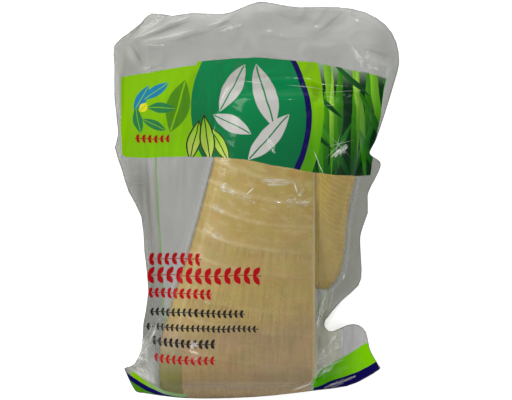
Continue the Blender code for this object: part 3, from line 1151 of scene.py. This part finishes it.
def left_of_header(m, place, x, y):
    """The field with its sprig, and the hill with its leaves."""
    slope = x * -0.4 + y
    colour = fade(m, slope, 35, 80, PALE_LIME, LIME)
    for at, length, width, angle, tint in SPRIG_LEAVES:
        found = leaf(m, place, at, length, width, angle)
        colour = m.blend(found["Blade"], colour, tint)
        colour = m.blend(found["Rib"], colour, LIME)
    berries = leaf_row(m, x, y, -67, -47, 34, 3.4, 3.0, 1.8, 58)
    colour = m.blend(berries, colour, BERRY)
    hill = curve(m, y, 50 * MM, 9.0, -36 * MM)
    colour = m.blend(past(m, x, hill), colour, header_hill(m, y))
    for at, length, width, angle in STRAW_LEAVES:
        found = leaf(m, place, at, length, width, angle)
        colour = m.blend(found["Blade"], colour, m.blend(found["Along"], STRAW, LIME))
        colour = m.blend(m.most(found["Rib"], found["Edge"]), colour, FOREST)
    return chalk_leaves(m, place, colour, CHALK_LEAVES)


def right_of_header(m, place, x, y):
    """The hill's right end, a navy border, a light green one, and the thicket of blades."""
    reaching = [leaf for leaf in CHALK_LEAVES if leaf[0][0] + leaf[1] / 2 > HEADER_SPLIT]
    colour = chalk_leaves(m, place, header_hill(m, y), reaching)
    edge = curve(m, y, 46 * MM, -8.0, 27 * MM)
    colour = m.blend(past(m, x, edge), colour, NAVY)
    edge = edge + 3.2 * MM
    colour = m.blend(past(m, x, edge), colour, fade(m, y, 20, 70, GRASS, LIME))
    edge = curve(m, y, 52 * MM, -5.0, 37 * MM)
    ground = fade(m, y, 62, 78, FOREST, PALE_GREEN)
    for lean, pitch, length, width, level, dark, light in BLADES:
        ground = blades(m, place, ground, lean, pitch, length, width, level, dark, light)
    return m.blend(past(m, x, edge), colour, ground)


# %% The foot stripes
def foot_stripes(m, x, y):
    """A lime band with a navy border along the foot. Gives its colour and where it is printed."""
    # The right part is lime with navy under it, cut off at a slant.
    right_edge = curve(m, x, 31 * MM, 9.54, -105.4 * MM)
    navy_top = right_edge + m.range(x, 30 * MM, 46 * MM, 2.4 * MM, 5.2 * MM)
    lime_top = x * 0.62 + (-95.5 - 0.62 * 33) * MM
    lime_end = y * -0.5 + 21.8 * MM
    right_zone = past(m, x, 31.5 * MM) * (past(m, lime_top, y) * past(m, lime_end, x))
    right_zone = right_zone * past(m, -60 * MM, y)
    lime = fade(m, x, 34, 58, PEA, YOUNG_PEA)
    colour = m.blend(past(m, navy_top, y) * past(m, x, 0.0), lime, NAVY)
    # The left part is a thin navy line between two greens.
    off_left = y - curve(m, x, -39 * MM, 12.16, -109 * MM)
    half = m.range(x, -46 * MM, -60 * MM, 0.7 * MM, 1.4 * MM)
    left_navy = past(m, half, abs(off_left)) * past(m, 0.0, x)
    over = m.range(x, -45 * MM, -68 * MM, 2.6 * MM, 4.4 * MM)
    left_zone = past(m, over, off_left) * past(m, -38 * MM, x)
    left_zone = left_zone * past(m, -60 * MM, y)
    left_zone = left_zone * m.most(past(m, half, off_left), past(m, x, -69 * MM))
    left_colour = fade(m, x, -63, -52, LIME, SAGE)
    left_colour = m.blend(past(m, 0.0, off_left), left_colour, FERN)
    colour = m.blend(past(m, 0.0, x), colour, left_colour)
    colour = m.blend(left_navy, colour, NAVY)
    # Between them and the ornament there is only a dark tint.
    ink = m.most(right_zone, left_zone)
    tint = within(m, x, -53 * MM, -40 * MM) * step(m, y, -64, -98)
    colour = m.blend(ink, OLIVE, colour)
    return colour, m.most(ink, tint * 0.86)


# %% The ornament under the header
RED_GARLANDS = [(-60.5, 3.1, -41, 5.3, 6.2, 3.2, 56), (-60, -29.5, -32, 4.36, 4.6, 2.5, 56),
    (-60, -24, -51, 3.6, 3.9, 2.1, 56), (-57, -22, -87, 3.5, 3.4, 1.7, 56, 3.0)]
BLACK_GARLANDS = [(-59, -6, -61.5, 3.1, 3.0, 1.5, 58), (-61, 1.4, -69.5, 2.8, 2.6, 1.3, 58),
    (-58, -22, -78, 3.3, 3.3, 1.8, 58, 3.0)]


def garlands(m, x, y, rows):
    found = 0.0
    for row in rows:
        found = m.most(found, leaf_row(m, x, y, *row))
    return found


def ornament(m, x, y):
    """Garlands under the header. Gives their colour and where they are printed."""
    red, black = garlands(m, x, y, RED_GARLANDS), garlands(m, x, y, BLACK_GARLANDS)
    return m.blend(black, BERRY, INK_BLACK), m.most(red, black)


# %% What each zone of the front web prints
DRIFT = 1.2 * MM
HEADER_FOOT = 12.0
HEADER_TOP = 80.5


def drifted(m, place):
    """The same place with a slow drift, because print on folded film is never quite straight."""
    shift = m.vector("MULTIPLY_ADD", m.clouds(place, 55.0).outputs["Color"],
        (2 * DRIFT, 2 * DRIFT, 0), (-DRIFT, -DRIFT, 0))
    x, y, z = m.split(m.vector("ADD", place, shift))
    return x, y


def unprinted(m, place):
    return (0, 0, 0, 1), 0.0


def printed_left(m, place):
    x, y = drifted(m, place)
    return left_of_header(m, m.join(x, y), x, y), header_band(m, x, y)


def printed_right(m, place):
    x, y = drifted(m, place)
    return right_of_header(m, m.join(x, y), x, y), header_band(m, x, y)


def striped_foot(m, place):
    return foot_stripes(m, *drifted(m, place))


def printed_foot(m, place):
    x, y = drifted(m, place)
    foot_colour, foot = foot_stripes(m, x, y)
    small_colour, small = ornament(m, x, y)
    return m.blend(small, foot_colour, small_colour), m.most(foot, small)


print("the header is printed from", HEADER_FOOT, "to", HEADER_TOP, "mm")


# %% The back web's panel
PANEL_LINE = 0.9 * MM


def back_print(m, place):
    """A pale panel on the back web, with a thin green line round it."""
    x, y, z = m.split(place)
    left = y * -0.055 + -54.6 * MM
    slant = m.range(y, -45 * MM, -66 * MM, 42 * MM, 31 * MM, smooth=False)
    inside = within(m, x, left, slant) * within(m, y, -74 * MM, 60 * MM)
    core = within(m, x, left + PANEL_LINE, slant - PANEL_LINE)
    line = m.math("SUBTRACT", inside, core, clamp=True)
    # Round the panel the film's tone changes from place to place.
    margin = fade(m, x, -10, 40, (0.08, 0.085, 0.063, 1), (0.15, 0.162, 0.12, 1))
    beside_slab = step(m, x, 43, 38) * step(m, y, -44, -50)
    margin = m.blend(beside_slab * past(m, x, 20 * MM), margin, (0.16, 0.19, 0.09, 1))
    collar = fade(m, x, -40, -72, (0.285, 0.285, 0.27, 1), (0.2, 0.21, 0.175, 1))
    collar = fade(m, x, 58, 74, collar, (0.165, 0.175, 0.155, 1))
    tone = fade(m, y, 10, 30, margin, collar)
    flap = fade(m, x, 45, 48, (0.32, 0.33, 0.23, 1), (0.32, 0.32, 0.33, 1))
    near_flap = step(m, y, -64, -72) * step(m, x, 30, 34)
    tone = m.blend(near_flap, tone, flap)
    tone = m.blend(inside, tone, PANEL)
    strip = m.range(x, left - 5 * MM, left - 3 * MM) * past(m, left, x)
    tone = m.blend(strip * m.range(y, -80 * MM, 0.0, 0.0, 0.6), tone, (0.3, 0.29, 0.27, 1))
    foot = step(m, y, -102, -105) * past(m, 30 * MM, x)
    tone = m.blend(foot * step(m, x, -48, -38), tone, (0.17, 0.14, 0.1, 1))
    return m.blend(line, tone, PANEL_GREEN), line * 0.95


# %% [markdown]
# ## Clear film
#
# The laminate is clear with a grey cast. Its Alpha says how much of it is seen: little of bare
# film, less still where it is sucked onto the wet shoots, and all of it where there is ink. Alpha
# would thin the gloss too, and a highlight on clear film is as bright as on solid plastic, so the
# gloss is a shader of its own, mixed in by a Fresnel. Inner faces are left out, so each web counts
# once.
# Sharp small creases are too fine for the mesh: they are lines and crushed patches that turn the
# film whiter and raise a bump. The whitening is partly creased film and partly painted glints.
# Broad folds of the empty film are painted as lighter and darker bands, a painted highlight and a
# painted shade.

# %% The crushed film group
crush_group, g, given, out = new_group("film_crush", ("Place", "Scale", "Width"), ("Lines",))
turn = g.vector("SCALE", g.clouds(given["Place"], 90.0).outputs["Color"], 10 * MM)
cells = g.node("ShaderNodeTexVoronoi", feature="DISTANCE_TO_EDGE", voronoi_dimensions="2D")
g.fill(cells, Vector=g.vector("ADD", given["Place"], turn), Scale=given["Scale"])
g.put(out["Lines"], g.range(cells.outputs["Distance"], given["Width"], 0.0))
print("the crushed film group has", len(crush_group.nodes), "nodes")

# %% The glint group
glint_group, g, given, out = new_group("glints", ("Place", "Streaks"), ("Lines",))
own = g.vector("ADD", given["Place"], g.join(given["Streaks"], 0.0, given["Streaks"]))
ragged = g.vector("SUBTRACT", g.clouds(own, 2.2).outputs["Color"], (0.5, 0.5, 0.5))
u, v, w = g.split(g.vector("ADD", given["Place"], g.vector("SCALE", ragged, 1.3)))
lens = 1.0 - u * u - abs(v)
found = g.noise((u * 1.1, v * given["Streaks"], given["Streaks"]))
streak = g.math("SUBTRACT", 1.0, abs(found - 0.5) * 14.0, clamp=True)
filled = g.most(streak * 0.45, g.range(found, 0.5, 0.6, 0.0, 0.75))
g.put(out["Lines"], filled * g.range(lens, 0.0, 0.45))
print("the glint group has", len(glint_group.nodes), "nodes")

# %% Creases, glints and broad folds
CREASE_LINES = [((3, 11.3), (21, 10.8), 0.9), ((4, 8.6), (19, 8.2), 0.6),
    ((20.5, 10.8), (22.5, 3), 0.9), ((-16, 4.6), (-12, 4), 0.5), ((-6, 2.5), (0, 7.6), 0.6),
    ((9, -0.6), (15, -1.4), 0.5), ((22, -1.2), (31, -0.6), 0.6), ((34, -91), (40, -77), 0.5),
    ((34, -91), (45, -80), 0.4), ((36, -93), (50, -87), 0.4), ((18, -104.5), (32, -98.5), 0.8),
    ((47.5, -71), (46.8, -84), 0.6), ((43.6, -45), (39, -64), 0.7), ((49, -40), (48, -44.5), 0.7),
    ((-64, -15), (-61, -45), 0.5), ((15, 63.5), (40, 61), 0.35), ((28, 58.5), (62, 61), 0.3),
    ((-8, 66), (8, 64), 0.3), ((37, 22), (50, 35), 0.22), ((33, 22), (37, 13.5), 0.3),
    ((38, 29), (54, 33), 0.22), ((31, 28), (35, 18), 0.25), ((42, 20), (46, 38), 0.22),
    ((39, 36), (52, 23), 0.2), ((-70, 88), (-47, 97), 0.9), ((-47, 97), (-34, 102), 0.9),
    ((-70, 87), (-28, 92.5), 0.9), ((-28, 92.5), (-6, 99), 0.9), ((-8.5, 101.6), (-31, 94.6), 0.7),
    ((-31, 94.6), (-58, 87.5), 0.7), ((24, 86), (52, 86), 0.6)]
GLINTS = [((-15.7, 6.4), 12, 6, -28, 2.1), ((-20.4, -4.6), 9, 5, -25, 2.4),
    ((19.4, -0.8), 7, 7, 40, 2.8), ((26, -0.9), 12, 4, 3, 1.7), ((-21, -19.4), 8, 4, -18, 1.9),
    ((24, 5.6), 9, 4, 80, 1.8), ((11, 10), 20, 5, -3, 2.3), ((-5, 0.5), 14, 4, -20, 2.6),
    ((36, -87), 9, 6, 55, 3.6), ((37.5, -93), 14, 6, 25, 4.2), ((45, -101), 22, 3, 22, 2.9),
    ((36.5, -60), 22, 5, 70, 4.3), ((41, -80), 22, 9, 48, 4.4), ((-60, -78), 24, 7, 66, 3.1),
    ((-64, -90), 16, 9, -40, 6.1), ((56, 79.5), 14, 5, -48, 3.4), ((60, 77), 11, 6, 62, 3.0),
    ((64, 73.5), 9, 3, -22, 2.2), ((-56, 85.4), 15, 2.8, 2, 2.5), ((-58.5, 72.0), 15, 4.2, 4, 2.9),
    ((-13, 95.2), 16, 3.4, 22, 3.3), ((-55.5, 98), 15, 4.6, 24, 4.8), ((46, 27), 12, 5, 40, 3.3),
    ((8, 30), 10, 5, -60, 5.1)]
PAINTED_FOLD_BANDS = [((-70.5, 87), (-50, 101), 5.0, 0.55), ((-71, 88.5), (-59, 101.5), 2.6, -0.8),
    ((-65, 89.5), (-37, 102), 3.5, 0.45), ((-66, 87.5), (-33, 100), 2.8, -0.8),
    ((-66, 86.5), (-25, 95.5), 6.0, 0.6), ((-30, 93.5), (-6, 107), 6.0, 0.45),
    ((-52, 86.5), (-22, 93.8), 4.0, -0.7), ((-25, 92.5), (-8, 104.5), 4.0, -0.7),
    ((-72, 87), (-64, 71), 6.5, 0.45), ((-69, 86.5), (-61.5, 73), 2.6, -0.7),
    ((8, 104.5), (37, 97), 10, -0.45), ((33, 91.5), (49, 104.5), 3.4, -0.7),
    ((38, 89), (60, 103), 10, 0.35), ((56, 84.5), (77, 78), 3.4, -0.6),
    ((57, 81), (76, 73), 6, 0.4), ((39.5, -45), (35, -66), 7, 0.55), ((50, -60), (44, -68), 5, 0.3),
    ((-73, -91), (-53, -102), 9, 0.8), ((-63, -75), (-56, -103), 14, 0.6)]
print(len(CREASE_LINES), "creases,", len(GLINTS), "glints and", len(PAINTED_FOLD_BANDS), "broad folds")


# %% Draw the creases
def crest(m, place, start, end, width):
    """A straight fold, as a long and narrow leaf: 1 along its middle, 0 at its sides."""
    middle = [(a + b) / 2 for a, b in zip(start, end)]
    run = [b - a for a, b in zip(start, end)]
    angle, length = math.degrees(math.atan2(run[1], run[0])), math.hypot(*run)
    return leaf(m, place, middle, length, width, angle)["Crest"], length


def crease(m, place, start, end, width):
    """A sharp crease. A long one is the fainter for it."""
    found, length = crest(m, place, start, end, 2 * width)
    return found * min(1.0, 11.0 / length)


def painted_fold_bands(m, place, folds):
    """Painted highlight, or below 0 painted shade, that the broad folds lay on the film."""
    x, y, z = m.split(place)
    level = m.join(x, y)
    total = 0.0
    for start, end, width, tone in folds:
        total = crest(m, level, start, end, width)[0] * tone + total
    return total


def sharp_creases(m, place, lines, glints):
    """How sharply the film is creased at each place."""
    x, y, z = m.split(place)
    level = m.join(x, y)
    total = 0.0
    for line in lines:
        total = m.most(crease(m, level, *line), total)
    for at, length, width, angle, streaks in glints:
        square = unit_square(m, level, at, length, width, angle)
        found = use_group(m, glint_group, Place=square, Streaks=streaks)
        total = m.most(found["Lines"], total)
    return total


# %% What only the front web shows
WHITENED = (0.3, 0.3, 0.28, 1)
PAINTED_WALL_LIGHT = (0.55, 0.55, 0.54, 1)
PAINTED_EDGE_SHADE = (0.08, 0.065, 0.035, 1)
PAINTED_FOLD_SHADE_AND_EDGE_LINE = (0.1, 0.1, 0.09, 1)
PAINTED_FOLD_HIGHLIGHT = (0.75, 0.75, 0.7, 1)
CREASE_WHITE_AND_PAINTED_GLINT = (0.73, 0.74, 0.69, 1)
PAINTED_GAP_SHADE = (0.27, 0.195, 0.052, 1)
FOOT_COVER_TONE = (0.29, 0.215, 0.125, 1)


def pulled_film(m, x, y, wet):
    """Faint upright streaks where the film is pulled tight beside the shoots."""
    pulled = m.noise((x * 330.0, y * 32.0), detail=3.0)
    pulled = m.range(pulled, 0.5, 0.66) * m.range(y, 0.03, 0.0, 0.0, 0.16)
    outside = m.range(x, -0.051, -0.057) + m.range(x, 0.032, 0.036)
    return pulled * outside * m.range(wet, 0.5, 0.0)


def gap_shade_and_foot_colour(m, x, y, z):
    """A brown painted shadow for the gap between the shoots, a greyer flesh colour at the foot,
    uneven.
    """
    tint = m.blend(m.range(y, -0.08, -0.095), PAINTED_GAP_SHADE, FOOT_COVER_TONE)
    uneven = m.noise((x * 700.0, y * 160.0, z * 90.0), detail=4.0, roughness=0.65)
    return m.vector("SCALE", tint, m.range(uneven, 0.3, 0.7, 0.84, 1.1))


def front_effects(m, place, colour, ink, wet, folds, sharp):
    """Lays painted light, painted shade and creases over the print. Gives the colour, how solid,
    and the gap shade.
    """
    x, y, z = m.split(place)
    bare = 1.0 - ink
    colour = m.blend(ink, WHITENED, colour)
    # Painted light: a pale band where the steep film beside the shoots catches the light.
    painted_wall_light = m.attribute("painted_wall_light") * bare
    colour = m.blend(painted_wall_light * 0.5, colour, PAINTED_WALL_LIGHT)
    # Painted shade: a dark line along the slab's left edge.
    painted_edge_shade = m.attribute("painted_edge_shade") * bare
    colour = m.blend(painted_edge_shade, colour, PAINTED_EDGE_SHADE)
    # Painted highlight and painted shade: lighter and darker bands along the broad folds.
    fold = painted_fold_bands(m, place, folds) * bare
    drawn = abs(fold)
    colour = m.blend(drawn, colour, m.blend(m.range(fold, -0.01, 0.01), PAINTED_FOLD_SHADE_AND_EDGE_LINE, PAINTED_FOLD_HIGHLIGHT))
    # Painted shadow in the gap between the shoots, and a flat flesh colour painted over the slab's
    # foot.
    gap_shade_and_foot_cover = m.range(m.attribute("gap_shade_and_foot_cover"), 0.15, 0.85) * bare
    colour = m.blend(gap_shade_and_foot_cover, colour, gap_shade_and_foot_colour(m, x, y, z))
    # Creases and glints turn the film whiter: partly creased film whitening, partly painted glints.
    colour = m.blend(sharp * 0.9, colour, CREASE_WHITE_AND_PAINTED_GLINT)
    extra = painted_edge_shade * 0.45 + (drawn * 0.35 + (painted_wall_light * 0.3 + gap_shade_and_foot_cover * 0.85))
    return colour, sharp * 0.7 + extra, gap_shade_and_foot_cover


print("a pouch's front has a meniscus, a seam, juice, folds and creases")


# %% The film material
def mixed(m, share, first, second):
    return m.feed(m.node("ShaderNodeMixShader"), share, first, second)


def film_material(name, print_of, opacity, wet_opacity, creases=None):
    """Film with its print. Creases are lines, glints and broad folds, for the front web."""
    made, tree, shader = new_material(name)
    m = Nodes(tree)
    place = m.place()
    colour, ink = print_of(m, place)
    wet, rim = m.attribute("wet"), m.attribute("rim")
    soft = use_group(m, crush_group, Place=place, Scale=70.0, Width=0.35)["Lines"]
    height = soft * 0.25
    solid = m.range(wet, 0.0, 1.0, opacity, wet_opacity, smooth=False)
    haze = m.range(m.noise(place, 40.0, detail=3.0), 0.3, 0.7, -0.04, 0.04)
    solid = m.math("ADD", solid, haze, clamp=True)
    gloss_share = m.range(rim, 0.1, 0.5, 1.0, 0.05) * m.range(wet, 0.0, 1.0, 1.0, 0.6)
    if creases:
        lines, glints, folds = creases
        x, y, z = m.split(place)
        solid = m.math("ADD", pulled_film(m, x, y, wet), solid, clamp=True)
        sharp = sharp_creases(m, place, lines, glints)
        colour, extra, gap_shade_and_foot_cover = front_effects(m, place, colour, ink, wet, folds, sharp)
        height = height + sharp
        solid = m.math("ADD", solid, extra, clamp=True)
        gloss_share = gloss_share * (gap_shade_and_foot_cover * -0.8 + 1.0)
    edge_line = m.range(rim, 0.98, 1.0)
    colour = m.blend(edge_line * 0.6, colour, PAINTED_FOLD_SHADE_AND_EDGE_LINE)
    solid = m.math("MULTIPLY_ADD", edge_line, 0.25, solid, clamp=True)
    bump = m.bump(height, 0.5, 0.4 * MM)
    m.fill(shader, Base_Color=colour, Alpha=m.most(solid, ink), Roughness=0.6,
        Specular_IOR_Level=0.0, Normal=bump)
    gloss = m.fill(m.node("ShaderNodeBsdfGlossy"), Color=(0.42, 0.42, 0.42, 1), Roughness=0.12,
        Normal=bump).outputs[0]
    fresnel = m.fill(m.node("ShaderNodeFresnel"), IOR=1.45, Normal=bump).outputs[0]
    coated = mixed(m, Value(m, fresnel) * gloss_share, shader.outputs[0], gloss)
    inner = m.node("ShaderNodeNewGeometry").outputs["Backfacing"]
    one_face = mixed(m, inner, coated, m.node("ShaderNodeBsdfTransparent").outputs[0])
    leave = next(n for n in tree.nodes if n.type == "OUTPUT_MATERIAL")
    m.fill(leave, Surface=one_face)
    return made


# %% [markdown]
# One material that held every print and every crease would be too long for the renderer, so the
# front web wears six. Each draws only what touches its own patch of the film, and they meet
# without a seam because the rest of their recipe is the same.

# %% Dress the webs
BARE_FILM = 0.25
WET_FILM = 0.04
BACK_FILM = 0.8
ZONES = [("clear_film_collar", unprinted, -200, 200, HEADER_TOP, 200),
    ("clear_film_header_left", printed_left, -200, HEADER_SPLIT, HEADER_FOOT, HEADER_TOP),
    ("clear_film_header_right", printed_right, HEADER_SPLIT, 200, HEADER_FOOT, HEADER_TOP),
    ("clear_film_body", unprinted, -200, 200, -29, HEADER_FOOT),
    ("clear_film_ornament", printed_foot, -200, 5, -200, -29),
    ("clear_film_flap", striped_foot, 5, 200, -200, -29)]


def touches(zone, at, reach):
    """Whether a patch lies at least partly in a zone. Sizes are in millimetres."""
    name, print_of, left, right, bottom, top = zone
    return (left < at[0] + reach and at[0] - reach < right and bottom < at[1] + reach
        and at[1] - reach < top)


for zone in ZONES:
    lines = [line for line in CREASE_LINES if touches(zone, line[0], 0)
        or touches(zone, line[1], 0)]
    glints = [patch for patch in GLINTS if touches(zone, patch[0], patch[1] / 2)]
    folds = [fold for fold in PAINTED_FOLD_BANDS if touches(zone, fold[0], fold[2])
        or touches(zone, fold[1], fold[2])]
    made = film_material(*zone[:2], BARE_FILM, WET_FILM, (lines, glints, folds))
    front.data.materials.append(made)
    print(made.name, "has", len(lines), "creases and", len(made.node_tree.nodes), "nodes")
for face in front.data.polygons:
    centre = face.center.xy / MM
    face.material_index = next(k for k, zone in enumerate(ZONES) if touches(zone, centre, MM))
back.data.materials.append(film_material("clear_film_back", back_print, BACK_FILM, BACK_FILM))
print("film on")
